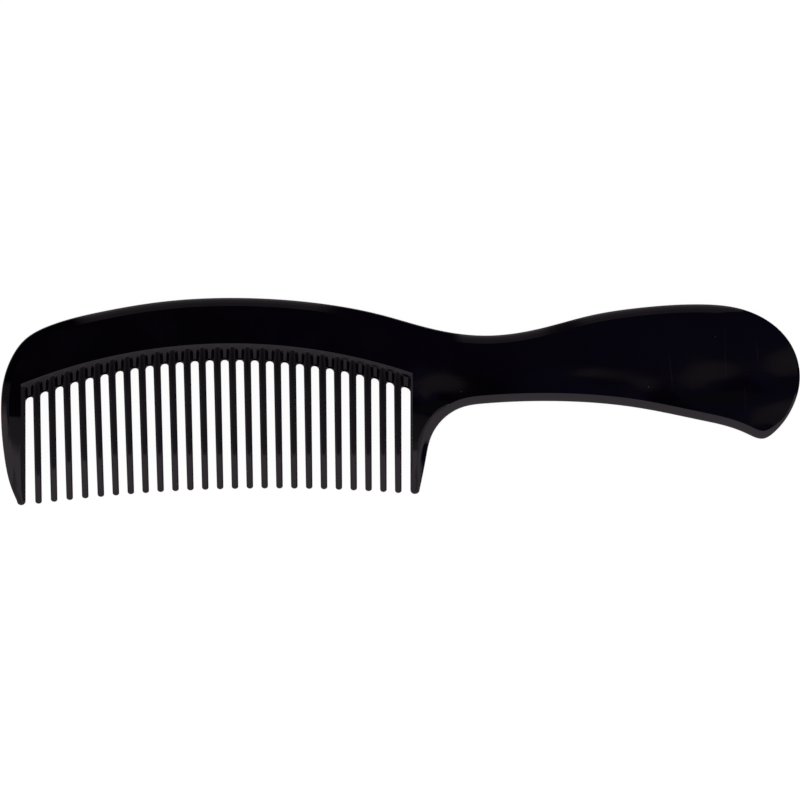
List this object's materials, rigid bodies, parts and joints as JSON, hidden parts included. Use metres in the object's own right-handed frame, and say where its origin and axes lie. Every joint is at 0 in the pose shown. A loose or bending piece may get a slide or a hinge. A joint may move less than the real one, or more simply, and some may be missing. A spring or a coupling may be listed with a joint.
{
  "type": "handled comb",
  "caption": "Flat one-piece comb: a row of straight teeth between two guard teeth under a bevelled, arched back, with a waisted flat handle.",
  "frame": {"origin": "centre of the comb's footprint, on the plane that its underside lies on", "axes": "+X along the comb towards the handle's end, +Y from the teeth towards the back, +Z through the thickness"},
  "size_m": [0.2158, 0.056, 0.0046],
  "materials": {
    "black_plastic": "glossy injection-moulded black plastic with fine handling scratches"
  },
  "bodies": {
    "root": {"back": "black_plastic", "handle": "black_plastic", "nose_guard": "black_plastic", "heel_guard": "black_plastic", "tooth_01": "black_plastic", "tooth_02": "black_plastic", "tooth_03": "black_plastic", "tooth_04": "black_plastic", "tooth_05": "black_plastic", "tooth_06": "black_plastic", "tooth_07": "black_plastic", "tooth_08": "black_plastic", "tooth_09": "black_plastic", "tooth_10": "black_plastic", "tooth_11": "black_plastic", "tooth_12": "black_plastic", "tooth_13": "black_plastic", "tooth_14": "black_plastic", "tooth_15": "black_plastic", "tooth_16": "black_plastic", "tooth_17": "black_plastic", "tooth_18": "black_plastic", "tooth_19": "black_plastic", "tooth_20": "black_plastic", "tooth_21": "black_plastic", "tooth_22": "black_plastic", "tooth_23": "black_plastic", "tooth_24": "black_plastic", "tooth_25": "black_plastic"}
  },
  "joints": []
}
